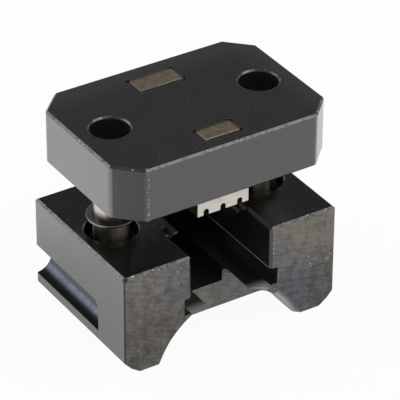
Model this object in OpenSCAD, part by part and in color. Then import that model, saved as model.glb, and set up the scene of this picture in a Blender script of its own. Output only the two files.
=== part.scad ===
// Crimping die set for an eight-way modular plug.
// X runs across the plug channel, Y runs from the open front to the back and Z is up.
// The origin is the middle of the lower die's footprint, on the plane that it stands on.
// The set is drawn open, as it stands before a crimp.

/* [Both halves] */
// Width of both halves, across the plug channel
die_width = 31.75; // [31:0.05:36]
// Depth of both halves, along the plug channel
die_depth = 22.2; // [22:0.1:26]
// Free height between the halves when the set is open
open_gap = 7.14; // [6.5:0.01:8]
// Break on the machined edges
edge_break = 0.3; // [0.1:0.05:0.6]
// Break on the lower die's upright edges
upright_break = 0.15; // [0.1:0.05:0.4]

/* [Lower die] */
// Height of the lower die
lower_height = 14.7; // [14:0.1:18]
// Width of the bevel under each leg
leg_bevel_width = 2.2; // [1:0.1:3]
// Height of the bevel under each leg
leg_bevel_height = 1.9; // [1:0.1:2.8]
// Outward bow of the middle of that bevel
leg_bevel_bow = 0.16; // [0.05:0.01:0.3]
// Radius of the mounting groove in each side
groove_radius = 2.2; // [1.5:0.05:2.3]
// Height of the mounting groove's middle
groove_height = 5.4; // [5:0.05:5.8]
// Length of the closed end that stops each mounting groove short of the front
groove_stop = 6.5; // [4:0.1:10]
// Radius in the upper corner of the groove's closed end
groove_corner = 1.2; // [0.4:0.1:1.5]

/* [Plug channel] */
// Width of the channel that the plug slides in
channel_width = 11.92; // [11.4:0.01:12.2]
// Height of the channel's floor above the base
floor_height = 6.02; // [5.6:0.01:6.6]
// Depth of the undercut in each channel wall
undercut_depth = 1.08; // [0.6:0.02:1.4]
// Height of the undercuts above the channel's floor
undercut_height = 2.45; // [1.5:0.05:3]
// Width of the slot for the plug's latch
latch_slot_width = 6.24; // [5.8:0.02:6.8]
// Depth of the slot for the plug's latch below the channel's floor
latch_slot_depth = 2.2; // [1.2:0.05:2.8]
// Lead-in bevel on the channel's front and top edges
channel_lead = 0.37; // [0.2:0.01:0.8]
// Thickness of the wall behind the channel that the plug's nose stops against
nose_wall = 1.7; // [1.2:0.1:3]
// Distance of the hold-down ledges from the front face
ledge_start = 5.83; // [5.5:0.01:8]
// Free height of the plug under the hold-down ledges
ledge_clearance = 6.6; // [6.4:0.05:6.9]
// Thickness of the ledges' front edges, above the slope that leads the plug under them
ledge_nose = 0.25; // [0.15:0.05:0.6]
// Width of the notch in the outer end of each ledge's top
notch_top_width = 1.06; // [0.6:0.02:1.2]
// Length of that notch from the ledge's front edge
notch_top_length = 1.85; // [1:0.05:3]

/* [Front relief] */
// Radius of the round relief under the front of the lower die
relief_radius = 10.78; // [10:0.02:11.2]
// Height of the relief's axis, below the base
relief_axis_drop = 4.25; // [3.8:0.05:4.8]
// Depth of the relief from the front face
relief_depth = 7; // [5:0.1:9]
// Bevel round the relief's mouth
relief_bevel = 0.87; // [0.5:0.01:1.2]
// Radius where the relief's round wall meets its flat end
relief_fillet = 1; // [0.4:0.1:1.4]
// Radius on the legs' inner lower edges
relief_corner = 0.5; // [0.3:0.1:1]

/* [Upper plate] */
// Thickness of the upper plate
plate_thickness = 7.65; // [7:0.05:10]
// Bevel on the plate's four upright corners
plate_corner = 3.3; // [2:0.1:4]
// Radius that blends each of those bevels into the sides
plate_blend = 1.2; // [0.3:0.1:2]
// Diameter of the two ram pin holes in the plate's top
pin_hole_diameter = 5.16; // [5:0.02:5.4]
// Depth of each ram pin hole
pin_hole_depth = 3.9; // [3:0.1:5]
// Bevel round the mouth of each ram pin hole
pin_hole_bevel = 0.25; // [0.1:0.05:0.5]

/* [Guide posts] */
// Diameter of the guide posts
post_diameter = 4.76; // [4.3:0.01:4.8]
// Distance of each post's axis from the side of the die
post_inset = 4.815; // [4.4:0.005:5]
// Depth of a post's top below the floor of the ram pin hole
post_drop = 0.2; // [0.1:0.05:0.6]
// Height of a post's foot above the base when the set is closed
post_foot_clearance = 0.1; // [0:0.05:0.6]
// Turned point on the foot of a post
post_point = 0.5; // [0.2:0.1:1]
// Radial clearance of a post in its guide bore
post_clearance = 0.04; // [0.02:0.01:0.08]

/* [Post rings and return springs] */
// Outer diameter of the ring on each post
ring_diameter = 6.45; // [6:0.05:6.6]
// Thickness of the ring
ring_thickness = 0.45; // [0.3:0.05:0.8]
// Height of the ring's underside above the lower die when the set is open
ring_height = 1.8; // [1:0.1:3]
// Depth of the groove in the post that the ring snaps into
ring_seat = 0.3; // [0.15:0.05:0.5]
// Width of the slit in the ring
ring_slit = 0.9; // [0.5:0.1:1.5]
// Diameter of the counterbore round each post
counterbore_diameter = 6.9; // [6.8:0.05:7.1]
// Bevel round the counterbore's mouth
counterbore_bevel = 0.2; // [0.1:0.05:0.4]
// Wire diameter of the return springs
spring_wire = 0.28; // [0.2:0.01:0.34]
// Mean diameter of the return springs' coils
spring_diameter = 5.7; // [5.4:0.02:6]
// Number of coils in each return spring
spring_coils = 4; // [3:1:5]
// Free length of the return springs
spring_length = 5; // [3:0.1:6]

/* [Strain relief punch] */
// Width of the punch's shank across the channel
relief_shank_width = 5; // [4.5:0.05:5.5]
// Thickness of the punch's shank along the channel
relief_shank_depth = 2.37; // [2:0.01:2.6]
// Distance of the shank's front face from the plate's front face
relief_shank_setback = 2.32; // [2:0.02:2.6]
// Width of the punch's toothed head
relief_head_width = 7.66; // [7:0.02:8.2]
// Step of the toothed head in front of its shank
relief_head_lip = 0.22; // [0:0.02:0.5]
// Reach of the toothed head below the plate
relief_reach = 3.28; // [3:0.02:3.6]
// Distance between the notches in the head's lower edge
notch_pitch = 2.5; // [2:0.05:2.7]
// Width of each notch
notch_width = 0.75; // [0.4:0.05:1]
// Height of each notch
notch_height = 0.85; // [0.5:0.05:1.2]

/* [Contact punch] */
// Width of the punch's shank across the channel
contact_shank_width = 6.35; // [6:0.05:6.8]
// Thickness of the punch's shank along the channel
contact_shank_depth = 2.84; // [2.4:0.02:3]
// Distance of the shank's rear face from the plate's rear face
contact_shank_setback = 2.67; // [2.4:0.01:3]
// Number of blades, one for each contact of the plug
blade_count = 8; // [4:1:8]
// Distance between the blades
blade_pitch = 1.02; // [0.9:0.01:1.05]
// Thickness of each blade
blade_thickness = 0.52; // [0.3:0.02:0.6]
// Height of the blades
blade_height = 1.5; // [1:0.1:1.8]
// Solid metal beside the outer blades
contact_head_margin = 0.2; // [0.1:0.02:0.3]
// Reach of the blades' tips below the plate
contact_reach = 2.7; // [2.4:0.02:3]

/* [Punch slots] */
// Depth of the punches' tops below the plate's top
punch_recess = 0.02; // [0.01:0.01:0.4]
// Clearance round the punches' shanks in the plate
slot_clearance = 0.1; // [0.02:0.01:0.2]
// Radius of the relief cut in each corner of a slot
slot_corner_relief = 0.35; // [0.2:0.05:0.5]
// Clearance of the contact punch's head between the hold-down ledges
head_clearance = 0.37; // [0.2:0.01:0.5]

/* [Hidden] */

// Overshoot of the cuts, so that no cut ends on a face
over = 1;
// Facing surfaces that rest on each other when the set closes stay this far apart in the drawing
closing_rest = 0.04;
round_fn = 96;
small_fn = 32;

// Planes of the open set
front_y = -die_depth / 2;
back_y = die_depth / 2;
plate_z = lower_height + open_gap;
plate_top_z = plate_z + plate_thickness;
stroke = open_gap - closing_rest;

// Plug channel
nose_y = back_y - nose_wall;
ledge_y = front_y + ledge_start;
ledge_z = floor_height + ledge_clearance;
blade_row = (blade_count - 1) * blade_pitch + blade_thickness;
contact_head_width = blade_row + 2 * contact_head_margin;
ledge_slot_width = contact_head_width + 2 * head_clearance;

// Posts, rings and springs
post_radius = post_diameter / 2;
pin_hole_radius = pin_hole_diameter / 2;
bore_radius = post_radius + post_clearance;
post_x = die_width / 2 - post_inset;
pin_floor_z = plate_top_z - pin_hole_depth;
post_top_z = pin_floor_z - post_drop;
post_foot_z = post_foot_clearance + stroke;
ring_z = lower_height + ring_height;
spring_slack = 0.04;
spring_closed = spring_coils * spring_wire + spring_slack;
spring_seat_z = lower_height - (stroke - ring_height) - spring_closed;

// Punches
relief_shank_y = front_y + relief_shank_setback + relief_shank_depth / 2;
relief_tip_z = plate_z - relief_reach;
contact_shank_y = back_y - contact_shank_setback - contact_shank_depth / 2;
contact_tip_z = plate_z - contact_reach;

// Where two lines meet, each given by the direction of its normal and its distance from the origin
function lines_meet(angle_a, reach_a, angle_b, reach_b) = [
    (reach_a * sin(angle_b) - reach_b * sin(angle_a)) / sin(angle_b - angle_a),
    (reach_b * cos(angle_a) - reach_a * cos(angle_b)) / sin(angle_b - angle_a)
];

// A plan rectangle about the origin with its four corners cut off
module cut_corner_plan(width, depth, corner) {
    polygon([
        [-width / 2 + corner, -depth / 2],
        [width / 2 - corner, -depth / 2],
        [width / 2, -depth / 2 + corner],
        [width / 2, depth / 2 - corner],
        [width / 2 - corner, depth / 2],
        [-width / 2 + corner, depth / 2],
        [-width / 2, depth / 2 - corner],
        [-width / 2, -depth / 2 + corner]
    ]);
}

// An outline in X and Z, drawn out along Y from one plane to another
module along_y(from_y, to_y) {
    translate([0, to_y, 0])
        rotate([90, 0, 0])
            linear_extrude(to_y - from_y)
                children();
}

// An outline in Y and Z, drawn out along X over a width about the origin
module across_x(width) {
    rotate([90, 0, 90])
        linear_extrude(width, center = true)
            children();
}

// The lower die's block: square on plan, bevelled under its legs, with its edges broken
module lower_block() {
    half_w = die_width / 2;
    half_d = die_depth / 2;
    bevel_slope = sqrt(pow(leg_bevel_width, 2) + pow(leg_bevel_height, 2));
    bow_x = leg_bevel_bow * leg_bevel_height / bevel_slope;
    bow_z = leg_bevel_bow * leg_bevel_width / bevel_slope;
    intersection() {
        along_y(front_y, back_y)
            polygon([
                [-half_w + leg_bevel_width, 0],
                [half_w - leg_bevel_width, 0],
                [half_w - leg_bevel_width / 2 + bow_x, leg_bevel_height / 2 - bow_z],
                [half_w, leg_bevel_height],
                [half_w, lower_height - edge_break],
                [half_w - edge_break, lower_height],
                [-half_w + edge_break, lower_height],
                [-half_w, lower_height - edge_break],
                [-half_w, leg_bevel_height],
                [-half_w + leg_bevel_width / 2 - bow_x, leg_bevel_height / 2 - bow_z]
            ]);
        across_x(die_width)
            polygon([
                [-half_d, 0],
                [half_d, 0],
                [half_d, lower_height - edge_break],
                [half_d - edge_break, lower_height],
                [-half_d + edge_break, lower_height],
                [-half_d, lower_height - edge_break]
            ]);
        linear_extrude(lower_height)
            cut_corner_plan(die_width, die_depth, upright_break);
    }
}

// The space that the plug slides into: an undercut channel under two hold-down ledges
module plug_channel() {
    half_w = channel_width / 2;
    half_under = half_w + undercut_depth;
    ledge_slope = lower_height - ledge_nose - ledge_z;
    // Undercut lower part, from the front to the nose wall
    along_y(front_y - over, nose_y)
        polygon([
            [-half_under, floor_height],
            [half_under, floor_height],
            [half_under, floor_height + undercut_height],
            [-half_under, floor_height + undercut_height]
        ]);
    // The plug's own width, up to the undersides of the ledges
    along_y(front_y - over, nose_y)
        polygon([
            [-half_w, floor_height],
            [half_w, floor_height],
            [half_w, ledge_z],
            [-half_w, ledge_z]
        ]);
    // Full width and open above in front of the ledges, with a lead-in along its top edges
    along_y(front_y - over, ledge_y)
        polygon([
            [-half_w, floor_height],
            [half_w, floor_height],
            [half_w, lower_height - channel_lead],
            [half_w + channel_lead + over, lower_height + over],
            [-half_w - channel_lead - over, lower_height + over],
            [-half_w, lower_height - channel_lead]
        ]);
    // Slope under the ledges' front edges
    across_x(channel_width)
        polygon([
            [ledge_y - over, lower_height - ledge_nose],
            [ledge_y, lower_height - ledge_nose],
            [ledge_y + ledge_slope, ledge_z],
            [ledge_y + ledge_slope, ledge_z - over],
            [ledge_y - over, ledge_z - over]
        ]);
    // Notch in the outer end of each ledge's top
    for (side = [-1, 1])
        along_y(ledge_y - over, ledge_y + notch_top_length)
            polygon([
                [side * half_w, lower_height],
                [side * (half_w - notch_top_width / 2), lower_height - notch_top_width / 2],
                [side * (half_w - notch_top_width), lower_height],
                [side * (half_w - notch_top_width), lower_height + over],
                [side * half_w, lower_height + over]
            ]);
    // Slot between the ledges, where the contact punch comes down
    along_y(front_y, nose_y)
        polygon([
            [-ledge_slot_width / 2, floor_height],
            [ledge_slot_width / 2, floor_height],
            [ledge_slot_width / 2, lower_height + over],
            [-ledge_slot_width / 2, lower_height + over]
        ]);
    // Slot in the floor for the plug's latch
    along_y(front_y - over, nose_y)
        polygon([
            [-latch_slot_width / 2, floor_height - latch_slot_depth],
            [latch_slot_width / 2, floor_height - latch_slot_depth],
            [latch_slot_width / 2, floor_height + over],
            [-latch_slot_width / 2, floor_height + over]
        ]);
    // Lead-in on the channel's upright front edges, above the undercuts
    translate([0, 0, floor_height + undercut_height])
        linear_extrude(lower_height)
            polygon([
                [-half_w - channel_lead - over, front_y - over],
                [half_w + channel_lead + over, front_y - over],
                [half_w, front_y + channel_lead],
                [-half_w, front_y + channel_lead]
            ]);
}

// The round relief under the front, which frees the plug's latch, with its bevelled mouth
module front_relief() {
    mouth_radius = relief_radius + relief_bevel;
    // Centre of the rounding circle on each leg's inner edge
    corner_x = sqrt(pow(relief_radius + relief_corner, 2) - pow(relief_corner + relief_axis_drop, 2));
    // Where that circle meets the relief's round wall
    meet = relief_radius / (relief_radius + relief_corner);
    meet_x = corner_x * meet;
    meet_z = (relief_corner + relief_axis_drop) * meet - relief_axis_drop;
    fillet_r = relief_radius - relief_fillet;
    fillet_y = relief_depth - relief_fillet;
    translate([0, front_y, -relief_axis_drop])
        rotate([-90, 0, 0])
            rotate_extrude($fn = round_fn)
                polygon([
                    [0, -over],
                    [mouth_radius, -over],
                    [mouth_radius, 0],
                    [relief_radius, relief_bevel],
                    for (a = [0:18:90]) [fillet_r + relief_fillet * cos(a), fillet_y + relief_fillet * sin(a)],
                    [0, relief_depth]
                ]);
    for (side = [-1, 1])
        along_y(front_y, front_y + fillet_y)
            difference() {
                polygon([
                    [side * meet_x, meet_z],
                    [side * corner_x, relief_corner],
                    [side * corner_x, 0],
                    [side * corner_x, -over],
                    [side * (meet_x - over), -over]
                ]);
                translate([side * corner_x, relief_corner])
                    circle(r = relief_corner, $fn = small_fn);
            }
}

// One of the grooves that the die slides into its tool by, open at the back
module side_groove(side) {
    groove_y = front_y + groove_stop;
    corner_z = groove_height + groove_radius - groove_corner;
    difference() {
        translate([side * die_width / 2, groove_y, groove_height])
            rotate([-90, 0, 0])
                cylinder(h = die_depth, r = groove_radius, $fn = round_fn);
        // Metal left in the upper corner of the closed end, in to the corner's radius
        translate([side * die_width / 2, groove_y + groove_corner, corner_z])
            rotate([0, 90, 0])
                difference() {
                    translate([-groove_corner - over, -groove_corner - over, -groove_radius - over])
                        cube([groove_corner + over, groove_corner + over, 2 * (groove_radius + over)]);
                    translate([0, 0, -groove_radius - 2 * over])
                        cylinder(h = 2 * (groove_radius + 2 * over), r = groove_corner, $fn = small_fn);
                }
    }
}

// Guide bore through the lower die, opening out to the spring's counterbore above
module post_bore(side) {
    mouth = counterbore_diameter / 2;
    translate([side * post_x, 0, -over])
        cylinder(h = lower_height + over, r = bore_radius, $fn = round_fn);
    translate([side * post_x, 0, spring_seat_z])
        cylinder(h = lower_height, r = mouth, $fn = round_fn);
    translate([side * post_x, 0, lower_height - counterbore_bevel])
        cylinder(
            h = counterbore_bevel + over,
            r1 = mouth,
            r2 = mouth + counterbore_bevel + over,
            $fn = round_fn
        );
}

// Lower half of the die: it holds the plug and guides the upper half
module lower_die() {
    color("#3b3a39")
        difference() {
            lower_block();
            plug_channel();
            front_relief();
            for (side = [-1, 1]) {
                side_groove(side);
                post_bore(side);
            }
        }
}

// Slot through the upper plate for a punch's shank, with a relief cut in each corner
module punch_slot(width, depth) {
    slot_w = width + 2 * slot_clearance;
    slot_d = depth + 2 * slot_clearance;
    translate([-slot_w / 2, -slot_d / 2, plate_z - over])
        cube([slot_w, slot_d, plate_thickness + 2 * over]);
    for (x = [-slot_w / 2, slot_w / 2], y = [-slot_d / 2, slot_d / 2])
        translate([x, y, plate_z - over])
            cylinder(h = plate_thickness + 2 * over, r = slot_corner_relief, $fn = small_fn);
}

// A bar along Y, as wide as two opposite sides of the plate, with its upper and lower edges broken
module plate_bar(half) {
    reach = die_width + die_depth;
    along_y(-reach, reach)
        polygon([
            [-half + edge_break, plate_z],
            [half - edge_break, plate_z],
            [half, plate_z + edge_break],
            [half, plate_top_z - edge_break],
            [half - edge_break, plate_top_z],
            [-half + edge_break, plate_top_z],
            [-half, plate_top_z - edge_break],
            [-half, plate_z + edge_break]
        ]);
}

// Upper plate: it carries the punches and the guide posts
module upper_plate() {
    half_w = die_width / 2;
    half_d = die_depth / 2;
    half_corner = (half_w + half_d - plate_corner) / sqrt(2);
    // Distance of each of the eight sides from the middle, from the right-hand side round to the left
    sides = [half_w, half_corner, half_d, half_corner, half_w, half_corner, half_d, half_corner];
    color("#2b2b2c")
        difference() {
            intersection() {
                translate([0, 0, plate_z - over])
                    linear_extrude(plate_thickness + 2 * over)
                        polygon([
                            for (i = [0:7], a = [0:9:45])
                                let (next = (i + 1) % 8, turn = 45 * i)
                                let (inner = [sides[i] - plate_blend, sides[next] - plate_blend])
                                lines_meet(turn, inner[0], turn + 45, inner[1])
                                    + plate_blend * [cos(turn + a), sin(turn + a)]
                        ]);
                plate_bar(half_w);
                rotate([0, 0, 45])
                    plate_bar(half_corner);
                rotate([0, 0, 90])
                    plate_bar(half_d);
                rotate([0, 0, 135])
                    plate_bar(half_corner);
            }
            for (side = [-1, 1]) {
                translate([side * post_x, 0, plate_z - over])
                    cylinder(h = plate_thickness, r = post_radius, $fn = round_fn);
                translate([side * post_x, 0, pin_floor_z])
                    cylinder(h = pin_hole_depth + over, r = pin_hole_radius, $fn = round_fn);
                translate([side * post_x, 0, plate_top_z - pin_hole_bevel])
                    cylinder(
                        h = pin_hole_bevel + over,
                        r1 = pin_hole_radius,
                        r2 = pin_hole_radius + pin_hole_bevel + over,
                        $fn = round_fn
                    );
            }
            translate([0, relief_shank_y, 0])
                punch_slot(relief_shank_width, relief_shank_depth);
            translate([0, contact_shank_y, 0])
                punch_slot(contact_shank_width, contact_shank_depth);
        }
}

// Guide post: pressed into the plate, running in the lower die, turned from one outline
module guide_post(side) {
    neck_radius = post_radius - ring_seat;
    color("#b9b4ac")
        translate([side * post_x, 0, 0])
            rotate_extrude($fn = round_fn)
                polygon([
                    [0, post_foot_z],
                    [post_radius - post_point, post_foot_z],
                    [post_radius, post_foot_z + post_point],
                    [post_radius, ring_z],
                    [neck_radius, ring_z],
                    [neck_radius, ring_z + ring_thickness],
                    [post_radius, ring_z + ring_thickness],
                    [post_radius, post_top_z - post_point],
                    [post_radius - post_point, post_top_z],
                    [0, post_top_z]
                ]);
}

module guide_post_left() {
    guide_post(-1);
}

module guide_post_right() {
    guide_post(1);
}

// Split ring in the post's groove, which presses the spring down as the set closes
module post_ring(side) {
    color("#4a4948")
        translate([side * post_x, 0, ring_z])
            difference() {
                cylinder(h = ring_thickness, r = ring_diameter / 2, $fn = round_fn);
                translate([0, 0, -over])
                    cylinder(h = ring_thickness + 2 * over, r = post_radius - ring_seat, $fn = round_fn);
                // Slit, turned to the back of the set
                translate([-ring_slit / 2, 0, -over])
                    cube([ring_slit, ring_diameter, ring_thickness + 2 * over]);
            }
}

module post_ring_left() {
    post_ring(-1);
}

module post_ring_right() {
    post_ring(1);
}

// Height of a spring's wire after a number of turns: flat for the first and last part of a turn
function spring_rise(turn) =
    let (flat = 0.75, active = spring_coils - 2 * flat, free = spring_length - 2 * flat * spring_wire)
    turn < flat ? turn * spring_wire
    : turn > spring_coils - flat ? spring_length - spring_wire - (spring_coils - turn) * spring_wire
    : flat * spring_wire + (turn - flat) / active * (free - spring_wire);

// Return spring: a round wire carried along a helix, standing on the counterbore's floor
module return_spring(side) {
    turn_steps = 20;
    wire_sides = 8;
    steps = spring_coils * turn_steps;
    coil_radius = spring_diameter / 2;
    wire_radius = spring_wire / 2;
    points = [
        for (i = [0:steps], k = [0:wire_sides - 1])
            let (turn = i / turn_steps, a = 360 * turn, b = 360 * k / wire_sides)
            let (r = coil_radius + wire_radius * cos(b), z = wire_radius * (1 + sin(b)))
            [r * cos(a), r * sin(a), spring_rise(turn) + z]
    ];
    walls = [
        for (i = [0:steps - 1], k = [0:wire_sides - 1])
            let (next = (k + 1) % wire_sides, low = i * wire_sides, high = low + wire_sides)
            [low + k, low + next, high + next, high + k]
    ];
    start_cap = [for (k = [wire_sides - 1:-1:0]) k];
    end_cap = [for (k = [0:wire_sides - 1]) steps * wire_sides + k];
    color("#3a3a3c")
        translate([side * post_x, 0, spring_seat_z])
            polyhedron(points = points, faces = concat(walls, [start_cap, end_cap]), convexity = 10);
}

module return_spring_left() {
    return_spring(-1);
}

module return_spring_right() {
    return_spring(1);
}

// Strain relief punch: a shank in the plate and a wider head with a notched lower edge
module strain_relief_punch() {
    head_front = front_y + relief_shank_setback - relief_head_lip;
    head_back = head_front + relief_head_lip + relief_shank_depth;
    half_shank = relief_shank_width / 2;
    color("#cfc5ba") {
        translate([-half_shank, relief_shank_y - relief_shank_depth / 2, plate_z - over / 2])
            cube([relief_shank_width, relief_shank_depth, plate_thickness - punch_recess + over / 2]);
        along_y(head_front, head_back)
            difference() {
                translate([-relief_head_width / 2, relief_tip_z])
                    square([relief_head_width, plate_z - relief_tip_z]);
                for (x = [-notch_pitch, 0, notch_pitch]) {
                    translate([x - notch_width / 2, relief_tip_z - over])
                        square([notch_width, over + notch_height - notch_width / 2]);
                    translate([x, relief_tip_z + notch_height - notch_width / 2])
                        circle(r = notch_width / 2, $fn = small_fn);
                }
            }
    }
}

// Contact punch: a shank in the plate and a head with one blade for each contact
module contact_punch() {
    head_front = contact_shank_y - contact_shank_depth / 2;
    half_head = contact_head_width / 2;
    blade_root_z = contact_tip_z + blade_height;
    color("#cfc5ba") {
        translate([-contact_shank_width / 2, head_front, plate_z - over / 2])
            cube([contact_shank_width, contact_shank_depth, plate_thickness - punch_recess + over / 2]);
        translate([-half_head, head_front, blade_root_z])
            cube([contact_head_width, contact_shank_depth, plate_z - blade_root_z]);
        for (i = [0:blade_count - 1])
            translate([-blade_row / 2 + i * blade_pitch, head_front, contact_tip_z])
                cube([blade_thickness, contact_shank_depth, blade_height + over / 2]);
    }
}

lower_die();
return_spring_left();
return_spring_right();
upper_plate();
guide_post_left();
guide_post_right();
post_ring_left();
post_ring_right();
strain_relief_punch();
contact_punch();
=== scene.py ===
import math

import bmesh
import bpy
import numpy as np
from mathutils import Matrix, Vector


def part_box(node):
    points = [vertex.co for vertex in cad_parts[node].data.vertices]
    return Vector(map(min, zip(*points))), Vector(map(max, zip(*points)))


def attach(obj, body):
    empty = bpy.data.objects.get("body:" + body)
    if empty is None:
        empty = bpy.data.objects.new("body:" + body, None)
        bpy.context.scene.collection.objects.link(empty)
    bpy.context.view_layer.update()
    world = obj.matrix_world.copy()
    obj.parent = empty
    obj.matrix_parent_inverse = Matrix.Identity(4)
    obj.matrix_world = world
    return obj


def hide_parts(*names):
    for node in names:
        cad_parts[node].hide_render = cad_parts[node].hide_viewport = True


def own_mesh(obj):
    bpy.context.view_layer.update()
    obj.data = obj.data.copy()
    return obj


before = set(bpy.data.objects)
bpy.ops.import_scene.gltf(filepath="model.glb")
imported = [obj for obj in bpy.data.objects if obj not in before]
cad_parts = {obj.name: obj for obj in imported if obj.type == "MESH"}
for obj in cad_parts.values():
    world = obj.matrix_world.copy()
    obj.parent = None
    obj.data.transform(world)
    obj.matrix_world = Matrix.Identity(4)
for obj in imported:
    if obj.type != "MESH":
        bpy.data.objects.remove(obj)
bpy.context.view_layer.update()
print("frame loaded:", len(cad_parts), "nodes")

mm = 0.001  # one millimetre in the scene's metres
dieLow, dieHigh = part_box("lower_die")
plateLow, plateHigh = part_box("upper_plate")
punchLow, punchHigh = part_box("strain_relief_punch")


# Shader maths: arithmetic on a Val adds Math nodes, and node() adds any other kind
class Val:
    def __init__(self, tree, socket=None):
        self.tree = tree
        self.socket = socket

    # Adds a node: its type, its settings, the values or links of its inputs, and the output to return
    def node(self, kind, settings=None, inputs=None, output=0):
        made = self.tree.nodes.new(kind)
        for name, value in (settings or {}).items():
            setattr(made, name, value)
        for key, value in (inputs or {}).items():
            if isinstance(value, Val):
                self.tree.links.new(value.socket, made.inputs[key])
            else:
                made.inputs[key].default_value = value
        return Val(self.tree, made.outputs[output] if len(made.outputs) else None)

    def maths(self, operation, *values, clamp=False):
        settings = {"operation": operation, "use_clamp": clamp}
        return self.node("ShaderNodeMath", settings, dict(enumerate(values)))

    def __add__(self, other):
        return self.maths("ADD", self, other)

    def __radd__(self, other):
        return self.maths("ADD", other, self)

    def __sub__(self, other):
        return self.maths("SUBTRACT", self, other)

    def __rsub__(self, other):
        return self.maths("SUBTRACT", other, self)

    def __mul__(self, other):
        return self.maths("MULTIPLY", self, other)

    def __rmul__(self, other):
        return self.maths("MULTIPLY", other, self)

    def __truediv__(self, other):
        return self.maths("DIVIDE", self, other)

    def __pow__(self, other):
        return self.maths("POWER", self, other)

    def __gt__(self, other):
        return self.maths("GREATER_THAN", self, other)

    def __lt__(self, other):
        return self.maths("LESS_THAN", self, other)

    def __abs__(self):
        return self.maths("ABSOLUTE", self)

    def clamped(self):
        return self.maths("ADD", self, 0.0, clamp=True)

    # 0 below low, 1 above high and a smooth step between them
    def step(self, low, high):
        inputs = {"Value": self, "From Min": low, "From Max": high}
        return self.node("ShaderNodeMapRange", {"interpolation_type": "SMOOTHSTEP"}, inputs)


# Colour that goes from one to the other as the factor goes from 0 to 1
def mixColour(factor, first, second):
    def asInput(colour):
        return colour if isinstance(colour, Val) else (*colour, 1.0)
    inputs = {0: factor, 6: asInput(first), 7: asInput(second)}
    return factor.node("ShaderNodeMix", {"data_type": "RGBA"}, inputs, output=2)


# A Val on the emptied node tree of a material or a world
def emptyTree(owner):
    owner.use_nodes = True
    owner.node_tree.nodes.clear()
    return Val(owner.node_tree)


# A material, and a Val on its Object coordinates
def newMaterial(name):
    material = bpy.data.materials.new(name)
    return material, emptyTree(material).node("ShaderNodeTexCoord", output="Object")


# Ends a material's tree with a Principled shader that is fed these values and links
def addSurface(place, inputs):
    shader = place.node("ShaderNodeBsdfPrincipled", None, inputs)
    place.node("ShaderNodeOutputMaterial", None, {"Surface": shader})


# The three numbers of a position
def parts(place):
    return [place.node("ShaderNodeSeparateXYZ", None, {0: place}, output=i) for i in range(3)]


# A position stretched by three factors
def stretched(place, factors):
    return place.node("ShaderNodeVectorMath", {"operation": "MULTIPLY"}, {0: place, 1: factors})


# A position turned about the y axis
def turned(place, degrees):
    inputs = {"Vector": place, "Angle": math.radians(degrees)}
    return place.node("ShaderNodeVectorRotate", {"rotation_type": "Y_AXIS"}, inputs)


# Noise between 0 and 1. The dictionaries below hold its size, detail and roughness, and any distortion
def noise(place, size, detail, roughness, distortion=0.0):
    return place.node("ShaderNodeTexNoise", None, {
        "Vector": place,
        "Scale": 1.0 / size,
        "Detail": detail,
        "Roughness": roughness,
        "Distortion": distortion,
    })


# A normal raised by a height in metres
def bump(height):
    return height.node("ShaderNodeBump", None, {"Height": height, "Strength": 1.0, "Distance": 1.0})


patchCore = 0.3  # the share of a patch's reach that is full strength


# Round patches added up, each 1 in its core and 0 at its reach. Middles and reaches are in mm
def patches(place, spots):
    total = 0.0
    for middle, reach in spots:
        inputs = {0: place, 1: tuple(c * mm for c in middle)}
        distance = place.node("ShaderNodeVectorMath", {"operation": "DISTANCE"}, inputs, output=1)
        total = total + (1.0 - distance.step(patchCore * reach * mm, reach * mm))
    return total


# Scattered round specks, 1 inside and 0 outside. The dictionaries below hold their spacing and radius
def specks(place, spacing, radius):
    inputs = {"Vector": place, "Scale": 1.0 / spacing}
    return place.node("ShaderNodeTexVoronoi", {"feature": "F1"}, inputs) < radius / spacing


# Materials

# The die's front left corner, where it is knocked off: painted dark, as the shade of its notch
cornerNotchShade = [((-15.75, -11.02, 14.5), 0.62)]

edgeNicks = {"specks": (0.3 * mm, 0.09 * mm), "strength": 0.8}


# The bright nicks of an edge
def alongEdge(place):
    return specks(place, *edgeNicks["specks"]) * edgeNicks["strength"]


dieFront = {
    "plane": dieLow.y + 0.05 * mm,
    "reliefEnd": dieLow.y + 7.0 * mm,
    "reliefEndHalf": 0.1 * mm,
    "reliefTop": 6.0 * mm,
    "brown": (0.150, 0.130, 0.101),
    "blue": (0.090, 0.097, 0.135),
    "rust": (0.175, 0.122, 0.072),
    "bluePatches": [((-7.6, -11.1, 11.8), 4.2), ((10.0, -11.1, 3.9), 6.2), ((6.8, -11.1, 10.6), 2.6)],
    "rustPatches": [((13.8, -11.1, 8.4), 2.6), ((-12.3, -11.1, 4.6), 2.8), ((11.2, -11.1, 12.0), 2.2)],
    "nickPatches": [((-7.0, -11.1, 12.4), 3.4), ((13.9, -11.1, 7.4), 3.4), ((11.0, -11.1, 8.4), 2.6)],
    "mottle": (1.2 * mm, 4.0, 0.65, 0.6),
    "mottleEdge": (0.32, 0.68),
    "lines": (0.34 * mm, 2.0, 0.6),
    "lineEdge": (0.38, 0.66),
    "lineSlope": -19.0,
    "leastStain": 0.30,
    "mottleStain": 0.38,
    "lineStain": 0.20,
    "topStain": 0.20,
    "rightTopStain": 0.24,
    "towardsTop": (3.0 * mm, 14.0 * mm),
    "evenBlue": 0.5,  # the share of the blue that the mottle doesn't break up
    "rustStrength": 0.75,
    "dullness": 0.42,
    "mottleShine": 0.55,
    "lineShine": 0.45,
    "nicks": (0.55 * mm, 0.07 * mm),
    "nickStrength": 0.7,
    "scratches": (0.55 * mm, 0.06 * mm),
    "scratchStrength": 0.5,
    "leadEdge": 6.4 * mm,  # the right leg's upright edge beside the channel
    "leadEdgeHalf": 0.1 * mm,
    "leadEdgeFoot": 9.0 * mm,
}

# The relief mouth's bevel colour: rubbed steel, and a painted highlight
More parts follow.
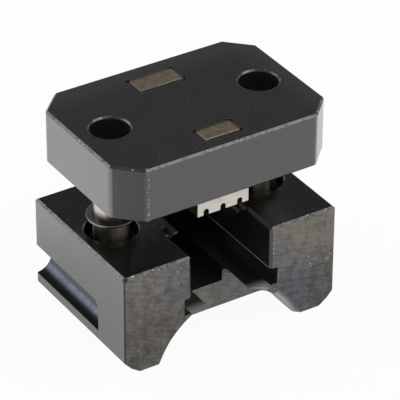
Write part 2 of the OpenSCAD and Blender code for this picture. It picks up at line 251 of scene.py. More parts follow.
mouthRubAndHighlight = {
    "bright": (0.52, 0.51, 0.485),
    "back": -10.2 * mm,  # where the bevel ends
    "top": 8.0 * mm,
    "half": 12.0 * mm,
    "brighter": (-10.85 * mm, -10.2 * mm),
    "leastBright": 0.08,
}


# The stained front of the die: its tint, how dull it is, and where its steel is bare. Brown, blue and
# rust lie in a mottle and in slanting lines, thicker towards the top and most of all on the right leg.
# The bevel of the relief's mouth is lighter towards its inner edge: rubbed steel, and a painted highlight
def stainFront(place, tint):
    x, y, z = parts(place)
    values, mouth = dieFront, mouthRubAndHighlight
    front = y < values["plane"]
    reliefEnd = (abs(y - values["reliefEnd"]) < values["reliefEndHalf"]) * (z < values["reliefTop"])
    stained = front + reliefEnd
    mottle = noise(stretched(place, (1.0, 1.0, 0.5)), *values["mottle"]).step(*values["mottleEdge"])
    slanted = turned(place, values["lineSlope"])
    lines = noise(stretched(slanted, (0.2, 1.0, 1.0)), *values["lines"]).step(*values["lineEdge"])
    higher = z.step(*values["towardsTop"]) * (values["topStain"] + (x > 0.0) * values["rightTopStain"])
    strength = values["leastStain"] + mottle * values["mottleStain"] + lines * values["lineStain"] + higher
    shine = mottle * values["mottleShine"] + lines * values["lineShine"]
    dull = stained * (1.0 - shine) * values["dullness"]
    even = values["evenBlue"]
    blue = patches(place, values["bluePatches"]) * (even + mottle * (1.0 - even))
    rust = patches(place, values["rustPatches"]) * mottle * values["rustStrength"]
    stain = mixColour(blue.clamped(), values["brown"], values["blue"])
    stain = mixColour(rust.clamped(), stain, values["rust"])
    tint = mixColour((stained * strength).clamped(), tint, stain)
    bevel = (y > values["plane"]) * (y < mouth["back"]) * (z < mouth["top"]) * (abs(x) < mouth["half"])
    least = mouth["leastBright"]
    # Painted highlight, with rubbing, on the relief mouth's bevel
    tint = mixColour(bevel * (least + y.step(*mouth["brighter"]) * (1.0 - least)), tint, mouth["bright"])
    worn = patches(place, values["nickPatches"])
    nicks = specks(stretched(place, (0.5, 1.0, 1.0)), *values["nicks"])
    scratches = specks(stretched(slanted, (0.12, 1.0, 1.0)), *values["scratches"])
    leadEdge = (abs(x - values["leadEdge"]) < values["leadEdgeHalf"]) * (z > values["leadEdgeFoot"])
    bare = worn * (nicks * values["nickStrength"] + scratches * values["scratchStrength"])
    return tint, dull, front * (bare + leadEdge * alongEdge(place))


plateWear = {
    "paintedLight": (0.028, 0.028, 0.024),
    "lightToBack": (5.0 * mm, 11.0 * mm),
    "lightToRight": (11.0 * mm, 16.0 * mm),
    "nickedEdge": -12.25 * mm,  # the upright edge between the front and its left bevel
    "nickedHalf": 0.13 * mm,
    "nickedFront": plateLow.y + 0.5 * mm,
}


# The plate's tint, lighter towards the back and right of its top as painted light, and where the steel of
# an upright edge is bare
def wearPlate(place, tint, top):
    x, y = parts(place)[:2]
    values = plateWear
    # Painted light on the top's back and right
    paintedLight = top * (y.step(*values["lightToBack"]) + x.step(*values["lightToRight"])).clamped()
    edge = (abs(x - values["nickedEdge"]) < values["nickedHalf"]) * (y < values["nickedFront"])
    return mixColour(paintedLight, tint, values["paintedLight"]), edge * alongEdge(place)


blackOxide = {
    "plate": (0.006, 0.006, 0.0062),
    # The die's base is darker than the plate's: painted shade under the plate
    "die": (0.0025, 0.0028, 0.0030),
    # The left faces' lighter tint is painted light, for their bright reflections; its blue clouds are the
    # oxide's own tone
    "side": (0.028, 0.028, 0.029),
    "litSideBlue": (0.030, 0.031, 0.042),
    "sideEdge": (0.42, 0.62),
    "leftPlane": dieLow.x + 0.075 * mm,
    "cloud": (5.0 * mm, 3.0, 0.55),
    "grain": (0.25 * mm, 3.0, 0.7),
    "grainDepth": 0.004 * mm,
    "speck": (0.80, 0.79, 0.76),
    "specks": (1.3 * mm, 0.07 * mm),
    "speckStrength": 0.25,
    "speckMetal": 0.3,
    "ior": 2.55,
    "roughness": 0.26,
    "grainRoughness": 0.10,
    "cloudRoughness": 0.12,
    "oil": 0.6,
    "cloudOil": 0.3,
    "thinOil": 0.15,
    "oilRoughness": 0.12,
    "oilEdge": (-0.9 * mm, 0.1 * mm),
    "shadedTopDullness": 0.35,
    # painted shade of the knocked off corner
    "notchShadeDullness": 0.8,
}


# Black oxide with faint clouds, fine grain and a few specks, under a film of oil below topPlane
# on its left side and right of rightPlane. More Metallic dulls the oxide, because a metal mirrors
# in its own colour, which is nearly black here
def makeBlackOxide(name, base, isDie, topPlane, rightPlane):
    material, place = newMaterial(name)
    values = blackOxide
    x, z = parts(place)[::2]
    cloud = noise(place, *values["cloud"])
    grain = noise(place, *values["grain"])
    left, top = x < values["leftPlane"], z > topPlane
    # Painted light: the left faces take the lighter side tint
    side = mixColour(cloud.step(*values["sideEdge"]), values["side"], values["litSideBlue"])
    tint = mixColour(left, base, side)
    bare = specks(place, *values["specks"]) * values["speckStrength"] * (1.0 - left)
    if isDie:
        tint, dull, nicks = stainFront(place, tint)
        # Painted shade: the die's top is dulled darker under the plate
        dull = dull + top * values["shadedTopDullness"] + patches(place, cornerNotchShade) * values["notchShadeDullness"]
    else:
        tint, nicks = wearPlate(place, tint, top)
        dull = 0.0
    bare = (bare + nicks).clamped()
    oilFrom, oilTo = values["oilEdge"]
    oiled = left + x.step(rightPlane + oilFrom, rightPlane + oilTo) + values["thinOil"]
    oil = (values["oil"] + (cloud - 0.5) * values["cloudOil"]) * (1.0 - top) * oiled.clamped()
    unevenness = (grain - 0.5) * values["grainRoughness"] + (cloud - 0.5) * values["cloudRoughness"]
    addSurface(place, {
        "Base Color": mixColour(bare, tint, values["speck"]),
        "Metallic": (dull * (1.0 - bare) + bare * values["speckMetal"]).clamped(),
        "Roughness": values["roughness"] + unevenness,
        "IOR": values["ior"],
        "Coat Weight": oil,
        "Coat Roughness": values["oilRoughness"],
        "Normal": bump(grain * values["grainDepth"]),
    })
    return material


cutFaces = {
    "base": (0.005, 0.006, 0.006),
    # The lightened colour of the floor's front and of the lip: rubbing, and a painted highlight
    "rubAndHighlight": (0.50, 0.475, 0.42),
    "ior": 2.0,
    "roughness": 0.4,
    "marks": (0.3 * mm, 3.0, 0.6),
    "markDepth": 0.004 * mm,
    "markRoughness": 0.2,
    # The floor's rubbing here also carries a painted highlight
    "evenRubAndHighlight": 0.5,  # the share of the floor's rubbing that the marks don't break up
    "rubAndHighlightFloor": 6.1 * mm,
    "rubAndHighlightFront": (-11.0 * mm, -8.9 * mm),
    "rubAndHighlightHalf": 6.0 * mm,
    "lip": 8.44 * mm,  # over the undercut
    "lipHeight": 0.16 * mm,
    "lipStrength": 0.85,
}


# The milled walls of the channel and the bores: duller and darker than the ground faces.
# The channel's floor is lighter at the front, where plugs go in, and so is the lip over its undercut:
# rubbed steel and a painted highlight
def makeCutFaces(name):
    material, place = newMaterial(name)
    values = cutFaces
    x, y, z = parts(place)
    marks = noise(stretched(place, (1.0, 0.06, 1.0)), *values["marks"])
    inside = abs(x) < values["rubAndHighlightHalf"]
    floor = (1.0 - y.step(*values["rubAndHighlightFront"])) * (z < values["rubAndHighlightFloor"]) * inside
    lip = (z > values["lip"]) * (z < values["lip"] + values["lipHeight"]) * inside
    even = values["evenRubAndHighlight"]
    # Rubbing, and a painted highlight, on the floor's front and on the lip
    rubAndHighlight = floor * (even + marks * (1.0 - even)) + lip * values["lipStrength"]
    addSurface(place, {
        "Base Color": mixColour(rubAndHighlight.clamped(), values["base"], values["rubAndHighlight"]),
        "Roughness": values["roughness"] + (marks - 0.5) * values["markRoughness"],
        "IOR": values["ior"],
        "Normal": bump(marks * values["markDepth"]),
    })
    return material


groove = {
    "blue": (0.12, 0.155, 0.225),
    # the dull ripples' colour, also painted shade above crown
    "upper": (0.055, 0.065, 0.085),
    # painted shade at the foot
    "low": (0.020, 0.021, 0.022),
    "foot": (3.3 * mm, 3.7 * mm),
    "crown": (3.9 * mm, 4.4 * mm),
    "ripple": (0.36 * mm, 3.0, 0.6),
    "rippleEdge": (0.36, 0.70),
    "rippleDullness": 0.6,
    "rippleDepth": 0.010 * mm,
    "rippleRoughness": 0.16,
    "metal": 0.6,
    "dullMetal": 0.15,
    "footShadeMetal": 0.2,
    "ior": 3.0,
    "roughness": 0.34,
    "footRoughness": 0.1,
}


# The side grooves: blue oxide with soft ripples across them; painted shade makes them black at their foot
# and darker above crown
def makeGrooveSteel(name):
    material, place = newMaterial(name)
    values = groove
    z = parts(place)[2]
    ripple = noise(stretched(place, (0.15, 1.0, 0.15)), *values["ripple"])
    # Painted shade: black at the foot
    low = 1.0 - z.step(*values["foot"])
    dull = ripple.step(*values["rippleEdge"]) * values["rippleDullness"]
    # Painted shade: darker above crown, like the dull ripples
    dull = (z.step(*values["crown"]) + dull).clamped()
    oxide = mixColour(dull, values["blue"], values["upper"])
    roughness = values["roughness"] + (ripple - 0.5) * values["rippleRoughness"]
    addSurface(place, {
        "Base Color": mixColour(low, oxide, values["low"]),
        "Metallic": values["metal"] + (dull * values["dullMetal"] + low * values["footShadeMetal"]).clamped(),
        "Roughness": roughness + low * values["footRoughness"],
        "IOR": values["ior"],
        "Normal": bump(ripple * values["rippleDepth"]),
    })
    return material


brokenEdge = {
    "dull": (0.03, 0.03, 0.032),
    "nick": (0.60, 0.585, 0.555),
    "nicks": (0.7 * mm, 0.11 * mm),
    "scuff": (0.7 * mm, 4.0, 0.7),
    "scuffEdge": (0.48, 0.66),
    "scuffDullness": 0.4,
    "scuffRoughness": 0.12,
    "scuffDepth": 0.01 * mm,
}


# The broken edges: as the faces, with dull scuffs and bright nicks along them. Dullness is their least
def makeEdgeSteel(name, dullness):
    material, place = newMaterial(name)
    values = brokenEdge
    scuff = noise(place, *values["scuff"]).step(*values["scuffEdge"])
    nicks = specks(place, *values["nicks"])
    # Painted shade of the knocked off corner
    dull = dullness + scuff * values["scuffDullness"] * (1.0 - nicks) + patches(place, cornerNotchShade)
    addSurface(place, {
        "Base Color": mixColour(nicks, values["dull"], values["nick"]),
        "Metallic": dull.clamped(),
        "Roughness": blackOxide["roughness"] + scuff * values["scuffRoughness"],
        "IOR": blackOxide["ior"],
        "Normal": bump(scuff * values["scuffDepth"]),
    })
    return material


wornCrease = {
    "bare": (0.6, 0.58, 0.55),
    "chips": (0.5 * mm, 4.0, 0.7),
    "chipEdge": (0.62, 0.70),
    "mouthBack": -10.0 * mm,
    "mouthTop": 9.0 * mm,
    "mouthHalf": 12.0 * mm,
    "mouthChipEdge": (0.32, 0.50),
    "mouthStrength": 0.95,
    "lipX": 5.96 * mm,
    "lipZ": 8.47 * mm,
    "lipReach": 0.2 * mm,
    "lipStrength": 0.8,
    "roughness": 0.34,
    "bareSmoothness": 0.1,
}


# The rounded creases, chipped most of all round the relief's mouth. The lip over the channel's undercut is
# lighter: rubbed, and a painted edge highlight
def makeWornEdge(name):
    material, place = newMaterial(name)
    values = wornCrease
    x, y, z = parts(place)
    chips = noise(place, *values["chips"])
    reach = values["lipReach"]
    lip = (abs(abs(x) - values["lipX"]) < reach) * (abs(z - values["lipZ"]) < reach)
    mouth = (y < values["mouthBack"]) * (z < values["mouthTop"]) * (abs(x) < values["mouthHalf"])
    mouthChips = mouth * chips.step(*values["mouthChipEdge"]) * values["mouthStrength"]
    bare = (chips.step(*values["chipEdge"]) + mouthChips).clamped()
    # The lip's light line: rubbed steel and a painted edge highlight
    bright = (bare + lip * values["lipStrength"]).clamped()
    addSurface(place, {
        "Base Color": mixColour(bright, blackOxide["plate"], values["bare"]),
        "Metallic": bare,
        "Roughness": values["roughness"] - bare * values["bareSmoothness"],
        "IOR": blackOxide["ior"],
    })
    return material


groundSteel = {
    "turning": (0.08 * mm, 2.0, 0.6),
    "turningDepth": 0.002 * mm,
    "turningRoughness": 0.1,
    "dirt": (1.2 * mm, 3.0, 0.6),
    "dirtEdge": (0.5, 0.75),
    "dirtStrength": 0.5,
    "dirtShade": 0.55,
    "dirtRoughness": 0.08,
    "shadeAboveRing": (0.12, 0.105, 0.085),
    "shadeAboveRingStrength": 0.8,
    "shadeAboveRingEdge": (0.9 * mm, 1.8 * mm),
    "brown": (0.22, 0.20, 0.15),
    "straw": (0.52, 0.475, 0.38),
    "streak": (1.6 * mm, 2.0, 0.5),
    "streakEdge": (0.42, 0.60),
    "brownOxide": 0.06,  # how far the brown is from metallic
    "strawOxide": 0.26,  # and how much further the straw is
}


# Ground round steel with fine turning marks. With a ringPlane it is straw brown below that plane and
# darker just above it, which is painted shade
def makeGroundSteel(name, colour, roughness, ringPlane=None):
    material, place = newMaterial(name)
    values = groundSteel
    turning = noise(stretched(place, (0.05, 0.05, 1.0)), *values["turning"])
    dirt = noise(place, *values["dirt"])
    dirty = tuple(c * values["dirtShade"] for c in colour)
    tint = mixColour(dirt.step(*values["dirtEdge"]) * values["dirtStrength"], colour, dirty)
    metallic = 1.0
    if ringPlane:
        z = parts(place)[2]
        below = z < ringPlane
        cleanFrom, cleanTo = values["shadeAboveRingEdge"]
        # Painted shade just above the ring's plane
        shadeAboveRing = (1.0 - z.step(ringPlane + cleanFrom, ringPlane + cleanTo)) * (1.0 - below)
        tint = mixColour(shadeAboveRing * values["shadeAboveRingStrength"], tint, values["shadeAboveRing"])
        streak = noise(stretched(place, (1.0, 1.0, 0.15)), *values["streak"]).step(*values["streakEdge"])
        tint = mixColour(below, tint, mixColour(streak, values["brown"], values["straw"]))
        metallic = 1.0 - below * (values["brownOxide"] + streak * values["strawOxide"])
    unevenness = (turning - 0.5) * values["turningRoughness"] + dirt * values["dirtRoughness"]
    addSurface(place, {
        "Base Color": tint,
        "Metallic": metallic,
        "Roughness": roughness + unevenness,
        "Normal": bump(turning * values["turningDepth"]),
    })
    return material


wireCut = {
    "bright": (0.98, 0.92, 0.83),
    "stained": (0.72, 0.62, 0.50),
    "stain": (0.9 * mm, 3.0, 0.6),
    "stainEdge": (0.45, 0.75),
    "stainStrength": 0.4,
    "metal": 0.35,
    "roughness": 0.36,
    "grain": (0.12 * mm, 3.0, 0.7),
    "grainRoughness": 0.2,
    "grainDepth": 0.003 * mm,
    "topPlane": plateHigh.z - 0.19 * mm,
    "top": (0.80, 0.68, 0.50),
    "dirtyTop": (0.50, 0.41, 0.29),
    "dirt": (0.7 * mm, 4.0, 0.65),
    "dirtEdge": (0.42, 0.66),
    "dirtStrength": 0.8,
    "sideAndNotchShade": (0.030, 0.027, 0.023),
    "headSide": punchHigh.x - 0.04 * mm,
    "headFront": punchLow.y + 0.08 * mm,
    "notchTop": punchLow.z + 0.89 * mm,
    "notchMiddle": 1.25 * mm,
    "notchReach": (0.80 * mm, 1.70 * mm),
}


# Bright wire cut steel, dirty on top. The front punch is painted dark on its sides and in its notches, as
# shade; the notches' middles are at 0 and at twice notchMiddle
def makePunchSteel(name):
    material, place = newMaterial(name)
    values = wireCut
    x, y, z = parts(place)
    grain = noise(stretched(place, (1.0, 1.0, 0.3)), *values["grain"])
    stain = noise(place, *values["stain"]).step(*values["stainEdge"]) * values["stainStrength"]
    dirt = noise(place, *values["dirt"]).step(*values["dirtEdge"]) * values["dirtStrength"]
    top = z > values["topPlane"]
    across = abs(abs(x) - values["notchMiddle"])
    low, high = values["notchReach"]
    notch = (across > low) * (across < high) * (z < values["notchTop"]) * (y > values["headFront"])
    # Painted shade on the head's sides and in its notches
    sideAndNotchShade = ((abs(x) > values["headSide"]) + notch).clamped() * (y < 0.0)
    tint = mixColour(sideAndNotchShade, mixColour(stain, values["bright"], values["stained"]), values["sideAndNotchShade"])
    addSurface(place, {
        "Base Color": mixColour(top, tint, mixColour(dirt, values["top"], values["dirtyTop"])),
        "Metallic": values["metal"] + top * (1.0 - values["metal"]),
        "Roughness": values["roughness"] + (grain - 0.5) * values["grainRoughness"],
        "Normal": bump(grain * values["grainDepth"]),
    })
    return material


dieSteel = makeBlackOxide(
    "die steel", blackOxide["die"], isDie=True,
    topPlane=dieHigh.z - 0.05 * mm, rightPlane=dieHigh.x - 0.075 * mm
)
# The plate's right bevel is oiled too, from its front edge on
plateSteel = makeBlackOxide(
    "plate steel", blackOxide["plate"], isDie=False,
    topPlane=plateHigh.z - 0.09 * mm, rightPlane=plateHigh.x - 3.175 * mm
)
channelSteel = makeCutFaces("channel steel")
grooveSteel = makeGrooveSteel("groove steel")
edgeSteel = makeEdgeSteel("edge steel", dullness=0.0)
frontEdgeSteel = makeEdgeSteel("front edge steel", dullness=0.3)
wornEdge = makeWornEdge("worn edge")
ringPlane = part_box("post_ring_left")[0].z + 0.1 * mm
postSteel = makeGroundSteel("post steel", (0.66, 0.63, 0.58), roughness=0.26, ringPlane=ringPlane)
ringSteel = makeGroundSteel("ring steel", (0.27, 0.265, 0.245), roughness=0.27)
springSteel = makeGroundSteel("spring steel", (0.12, 0.12, 0.125), roughness=0.3)
punchSteel = makePunchSteel("punch steel")
print("materials made:", len(bpy.data.materials))


# Pieces

# A piece in place of a CAD node, on its body
def addPiece(name, mesh, node, body, material):
    piece = bpy.data.objects.new(name, mesh)
    bpy.context.scene.collection.objects.link(piece)
    mesh.materials.clear()
    mesh.materials.append(material)
    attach(piece, body)
    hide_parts(node)
    return piece


def shadeSmooth(mesh):
    mesh.polygons.foreach_set("use_smooth", np.ones(len(mesh.polygons), dtype=bool))


finish = {
    "weld": 0.0005 * mm,  # points this near are one
    "flat": math.radians(0.5),
    "crease": math.radians(25),
    "segments": 2,
    "flatWeight": 100,
}


# A CAD node's own shape, welded, with its creases rounded off and its round walls shaded smooth.
# Each zone is a material and the box whose inside faces take it
def finishedCopy(name, node, body, material, roundOff, edgeMaterial=None, zones=()):
    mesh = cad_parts[node].data.copy()
    welded = bmesh.new()
    welded.from_mesh(mesh)
    bmesh.ops.remove_doubles(welded, verts=welded.verts, dist=finish["weld"])
    bmesh.ops.dissolve_limit(
        welded, angle_limit=finish["flat"], verts=welded.verts, edges=welded.edges, delimit={"NORMAL"}
    )
    welded.to_mesh(mesh)
    welded.free()
    piece = addPiece(name, mesh, node, body, material)
    if edgeMaterial:
        mesh.materials.append(edgeMaterial)
    centres = np.empty(len(mesh.polygons) * 3)
    mesh.polygons.foreach_get("center", centres)
    centres = centres.reshape(-1, 3)
    slots = np.zeros(len(mesh.polygons), dtype=np.int32)
    for zoneMaterial, low, high in zones:
        mesh.materials.append(zoneMaterial)
        inside = ((centres > np.array(low) * mm) & (centres < np.array(high) * mm)).all(axis=1)
        slots[inside] = len(mesh.materials) - 1
    mesh.polygons.foreach_set("material_index", slots)
    shadeSmooth(mesh)
    bevel = piece.modifiers.new("rounded edges", "BEVEL")
    bevel.width = roundOff
    bevel.segments = finish["segments"]
    bevel.limit_method = "ANGLE"
    bevel.angle_limit = finish["crease"]
    if edgeMaterial:
        bevel.material = 1
    flats = piece.modifiers.new("flat faces", "WEIGHTED_NORMAL")
    flats.weight = finish["flatWeight"]
    flats.keep_sharp = True


# Points round an upright axis: x is axisX plus the radius times the angle's cosine, y is the radius
# times its sine, and z is the height
def roundAxis(axisX, radius, angle, height):
    x, y = axisX + radius * np.cos(angle), radius * np.sin(angle)
    return np.stack(np.broadcast_arrays(x, y, height), -1)


# A mesh of quads between neighbours in an array of points, rows by columns, joined round its columns.
# Caps close its first row and its last
def tubeMesh(name, points, caps=True):
    rows, columns = points.shape[:2]
    i, j = np.meshgrid(np.arange(rows - 1), np.arange(columns), indexing="ij")
    here, after = i * columns + j, i * columns + (j + 1) % columns
    quads = np.stack([here, after, after + columns, here + columns], -1)
    faces = quads.reshape(-1, 4).tolist()
    if caps:
        faces.append(list(range(columns))[::-1])
        faces.append([(rows - 1) * columns + k for k in range(columns)])
    mesh = bpy.data.meshes.new(name)
    mesh.from_pydata(points.reshape(-1, 3).tolist(), [], faces)
    shaped = bmesh.new()
    shaped.from_mesh(mesh)
    bmesh.ops.remove_doubles(shaped, verts=shaped.verts, dist=finish["weld"])
    bmesh.ops.recalc_face_normals(shaped, faces=shaped.faces)
    shaped.to_mesh(mesh)
    shaped.free()
    shadeSmooth(mesh)
    return mesh


guidePost = {
    "point": 0.5 * mm,
    "pointMiddle": 0.3,  # the share of the point from its rounded middle to the corner
    "ringSeat": 0.3 * mm,
    "steps": 96,
    "sharpFrom": math.radians(30),
}


# A post is a profile of radius and height turned round the post's axis
def makePost(side):
    node = "guide_post_" + side
    low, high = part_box(node)
    ringLow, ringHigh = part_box("post_ring_" + side)
    radius = (high.x - low.x) / 2
    point = guidePost["point"]
    middle = guidePost["pointMiddle"] * point
    neck = radius - guidePost["ringSeat"]
    profile = np.array([
        (0.0, low.z), (radius - point, low.z), (radius - middle, low.z + middle),
        (radius, low.z + point), (radius, ringLow.z), (neck, ringLow.z), (neck, ringHigh.z),
        (radius, ringHigh.z), (radius, high.z - point), (radius - point, high.z), (0.0, high.z),
    ])
    angle = np.linspace(0, 2 * np.pi, guidePost["steps"], endpoint=False)
    points = roundAxis((low.x + high.x) / 2, profile[:, 0:1], angle, profile[:, 1:2])
    mesh = tubeMesh("guide post " + side, points, caps=False)
    mesh.set_sharp_from_angle(angle=guidePost["sharpFrom"])
    addPiece("guidePost." + side, mesh, node, "upper_half", postSteel)


splitRing = {
    "slit": 0.9 * mm,
    "corner": 0.12 * mm,
    "steps": 90,
    "cornerSteps": 4,
    "sharpFrom": math.radians(50),
}


# A ring is an oblong section with four rounded corners, carried round the post's axis from one side
# of the slit at its back to the other
def makeRing(side):
    node = "post_ring_" + side
    low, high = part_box(node)
    postLow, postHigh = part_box("guide_post_" + side)
    outer = (high.x - low.x) / 2
    inner = (postHigh.x - postLow.x) / 2 - guidePost["ringSeat"]
    corner = splitRing["corner"]
    halfWidth, halfHeight = (outer - inner) / 2 - corner, (high.z - low.z) / 2 - corner
    turn = np.linspace(0, np.pi / 2, splitRing["cornerSteps"])
    section = np.concatenate([
        np.stack([
            outwards * halfWidth + corner * np.cos(turn + quarter * np.pi / 2),
            upwards * halfHeight + corner * np.sin(turn + quarter * np.pi / 2),
        ], -1)
        for quarter, (outwards, upwards) in enumerate([(1, 1), (-1, 1), (-1, -1), (1, -1)])
    ])
    gap = splitRing["slit"] / outer
    angle = np.linspace(np.pi / 2 + gap / 2, 2.5 * np.pi - gap / 2, splitRing["steps"])[:, None]
    radius = (outer + inner) / 2 + section[:, 0]
    height = (low.z + high.z) / 2 + section[:, 1]
    mesh = tubeMesh("post ring " + side, roundAxis((low.x + high.x) / 2, radius, angle, height))
    mesh.set_sharp_from_angle(angle=splitRing["sharpFrom"])
    addPiece("postRing." + side, mesh, node, "upper_half", ringSteel)


returnSpring = {
    "wire": 0.28 * mm,
    "coils": 4,
    "closeTurns": 0.75,  # wound close at each end
    "slack": 0.04 * mm,  # left between the squashed coils, all together
    "turnSteps": 48,
    "wireSides": 12,
}


# A spring is a circle carried round the axis as it climbs: by the wire's thickness a turn where it is
# wound close, and evenly between
def makeSpring(side):
    node = "return_spring_" + side
    low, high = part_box(node)
    values = returnSpring
    wire, coils, close = values["wire"], values["coils"], values["closeTurns"]
    centre = (low.x + high.x) / 2
    length = high.z - low.z
    turns = np.linspace(0, coils, coils * values["turnSteps"] + 1)
    endRise, fullRise = close * wire, length - wire
    rise = np.interp(turns, [0, close, coils - close, coils], [0, endRise, fullRise - endRise, fullRise])
    angle = (2 * np.pi * turns)[:, None]
    around = np.linspace(0, 2 * np.pi, values["wireSides"], endpoint=False)
    radius = (high.x - low.x - wire) / 2 + wire / 2 * np.cos(around)
    height = (low.z + wire / 2 + rise)[:, None] + wire / 2 * np.sin(around)
    mesh = tubeMesh("return spring " + side, roundAxis(centre, radius, angle, height))
    piece = addPiece("returnSpring." + side, mesh, node, "lower_half", springSteel)
    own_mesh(piece)


for side in ("left", "right"):
    makePost(side)
    makeRing(side)
    makeSpring(side)
print("posts, rings and springs made")

# A zone on the right and its mirror on the left
def bothSides(material, low, high):
    return [
        (material, (-high[0], low[1], low[2]), (-low[0], high[1], high[2])),
        (material, low, high),
    ]


# Which faces of the die and of the plate take another material: those whose middle lies in a box,
# in mm. A later zone overrides an earlier one
dieTop, plateTop = dieHigh.z / mm, plateHigh.z / mm
dieZones = [
    (edgeSteel, (-15.9, -11.2, dieTop - 0.28), (15.9, 11.2, dieTop - 0.02)),  # top edges
    (frontEdgeSteel, (-15.9, -11.2, dieTop - 0.28), (15.9, -10.85, dieTop - 0.02)),
    (channelSteel, (-15.87, -11.09, 0.2), (-15.66, -10.88, dieTop - 0.04)),  # front left upright edge
    (channelSteel, (-7.2, -10.85, 3.7), (7.2, 11.0, dieTop - 0.04)),  # channel
    *bothSides(channelSteel, (7.5, -3.6, 0.3), (14.6, 3.6, dieTop - 0.3)),  # bores
    *bothSides(grooveSteel, (13.0, -5.0, 3.0), (15.86, 11.05, 7.8)),
]
plateZones = [
    (edgeSteel, (-15.9, -11.2, plateTop - 0.29), (15.9, 11.2, plateTop - 0.03)),  # top edges
    *bothSides(channelSteel, (7.5, -3.6, 21.9), (14.6, 3.6, plateTop - 0.29)),  # pin holes
]
finishedCopy(
    "lowerDie", "lower_die", "lower_half", dieSteel,
    roundOff=0.06 * mm, edgeMaterial=wornEdge, zones=dieZones
)
finishedCopy(
    "upperPlate", "upper_plate", "upper_half", plateSteel,
    roundOff=0.06 * mm, edgeMaterial=wornEdge, zones=plateZones
)
finishedCopy(
    "reliefPunch", "strain_relief_punch", "upper_half", punchSteel,
    roundOff=0.08 * mm
)
finishedCopy(
    "contactPunch", "contact_punch", "upper_half", punchSteel,
    roundOff=0.06 * mm
)
print("die, plate and punches made")


# Floor, light and camera

studio = {
    "floorReach": 3000 * mm,
    "floorShade": 0.9,
    "floorFront": 0.55,  # how bright the mirrored floor is in front of the die
    "floorCorner": 0.32,  # and to its front left
    "nearShade": 0.6,  # and right beside the die, as a share of the rest
    "shadeReach": (3 * mm, 26 * mm),
    "dieHalf": (dieHigh.x, dieHigh.y),
    "leftTurn": (0.0, 0.7),  # sines of the directions between which it changes
    "frontTurn": (0.08, 0.45),
    "floorSeen": 0.94,  # the share of the floor that glows for the camera, and the rest is matt
    "floorMirrored": 0.95,  # the same for what mirrors it
    "worldFill": 0.6,
    "skyShade": 0.10,
    "horizon": (-0.05, 0.3),
}

# Direction from the die, distance, width and brightness of each soft light, where 1 is white
softLights = {
    "soft light left": ((-0.68, 0.58, 0.45), 600 * mm, 370 * mm, 1.15),
    "soft light right": ((0.48, -0.52, 0.70), 600 * mm, 460 * mm, 1.15),
}


# Whether a ray comes from the camera, and whether it is mirrored or let through: 1 or 0 each
def rayKinds(place):
    camera, glossy, transmitted = [
        place.node("ShaderNodeLightPath", output=kind)
        for kind in ("Is Camera Ray", "Is Glossy Ray", "Is Transmission Ray")
    ]
    return camera, (glossy + transmitted).clamped()


# White for the camera. What reflects the floor sees its glow dimmer in front of the die and close to it,
# which is painted shade
def makeFloor():
    reach = studio["floorReach"]
    corners = [(-reach, -reach, 0), (reach, -reach, 0), (reach, reach, 0), (-reach, reach, 0)]
    mesh = bpy.data.meshes.new("floor")
    mesh.from_pydata(corners, [], [(0, 1, 2, 3)])
    floor = bpy.data.objects.new("floor", mesh)
    bpy.context.scene.collection.objects.link(floor)
    material, place = newMaterial("floor")
    camera, mirrored = rayKinds(place)
    x, y = parts(place)[:2]
    halfWidth, halfDepth = studio["dieHalf"]
    besideX = (abs(x) - halfWidth).clamped()
    besideY = (abs(y) - halfDepth).clamped()
    beside = (besideX * besideX + besideY * besideY) ** 0.5
    away = beside + 0.1 * mm  # never 0, so that it can divide
    leftwards = besideX * (x < 0.0) / away
    frontwards = besideY * (y < 0.0) / away
    front, corner, near = studio["floorFront"], studio["floorCorner"], studio["nearShade"]
    level = front + (corner - front) * leftwards.step(*studio["leftTurn"])
    level = 1.0 + (level - 1.0) * frontwards.step(*studio["frontTurn"])
    level = level * (near + beside.step(*studio["shadeReach"]) * (1.0 - near))
    shade = studio["floorShade"]
    matt = place.node("ShaderNodeBsdfDiffuse", None, {"Color": (shade, shade, shade, 1.0)})
    white = camera + level * (1.0 - camera)
    glow = place.node("ShaderNodeEmission", None, {"Color": white, "Strength": 1.0})
    seen = camera * studio["floorSeen"] + mirrored * studio["floorMirrored"]
    both = place.node("ShaderNodeMixShader", None, {0: seen, 1: matt, 2: glow})
    place.node("ShaderNodeOutputMaterial", None, {"Surface": both})
    mesh.materials.append(material)


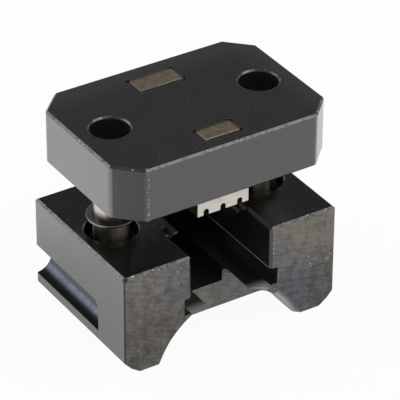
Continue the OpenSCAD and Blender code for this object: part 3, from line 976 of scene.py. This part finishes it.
# White for the camera, an even fill for matt surfaces, and dim above the horizon for what reflects it
def makeWorld():
    world = bpy.data.worlds.new("studio")
    bpy.context.scene.world = world
    place = emptyTree(world).node("ShaderNodeTexCoord", output="Generated")
    camera, mirrored = rayKinds(place)
    z = parts(place)[2]
    sky = studio["skyShade"] + (1.0 - z.step(*studio["horizon"])) * (1.0 - studio["skyShade"])
    level = studio["worldFill"] * (1.0 - mirrored) + sky * mirrored
    white = level * (1.0 - camera) + camera
    background = place.node("ShaderNodeBackground", None, {"Color": white, "Strength": 1.0})
    place.node("ShaderNodeOutputWorld", None, {"Surface": background})


# A square soft light aimed at the die; its power follows from its brightness and its area
def makeSoftLight(name, direction, distance, width, brightness):
    lamp = bpy.data.lights.new(name, "AREA")
    lamp.size = width
    lamp.energy = brightness * math.pi * width ** 2
    holder = bpy.data.objects.new(name, lamp)
    holder.location = Vector(direction).normalized() * distance
    holder.rotation_euler = Vector(direction).to_track_quat("Z", "Y").to_euler()
    bpy.context.scene.collection.objects.link(holder)


photoCamera = {
    "lens": 263.1,
    "azimuth": 32.587,
    "elevation": 32.5465,
    "roll": 0.288,
    "distance": 381.26 * mm,
    "target": (4.355 * mm, 3.270 * mm, 12.700 * mm),
    "shift": (0.00025, -0.015),
    "nearest": 10 * mm,
}


# Looks at the target from an azimuth round the die and an elevation, rolled about its own axis
def makeCamera():
    values = photoCamera
    around, above, roll = (math.radians(values[key]) for key in ("azimuth", "elevation", "roll"))
    level = math.cos(above)
    back = Vector((-math.sin(around) * level, -math.cos(around) * level, math.sin(above)))
    right = Vector((math.cos(around), -math.sin(around), 0.0))
    up = back.cross(right)
    rolledRight = right * math.cos(roll) + up * math.sin(roll)
    rolledUp = up * math.cos(roll) - right * math.sin(roll)
    camera = bpy.data.cameras.new("camera")
    camera.lens = values["lens"]
    camera.shift_x, camera.shift_y = values["shift"]
    camera.clip_start = values["nearest"]
    holder = bpy.data.objects.new("camera", camera)
    holder.matrix_world = Matrix((rolledRight, rolledUp, back)).transposed().to_4x4()
    holder.location = Vector(values["target"]) + back * values["distance"]
    bpy.context.scene.collection.objects.link(holder)
    bpy.context.scene.camera = holder


makeFloor()
makeWorld()
for name, values in softLights.items():
    makeSoftLight(name, *values)
makeCamera()
bpy.context.scene.view_settings.view_transform = "Standard"
print("floor, light and camera made")
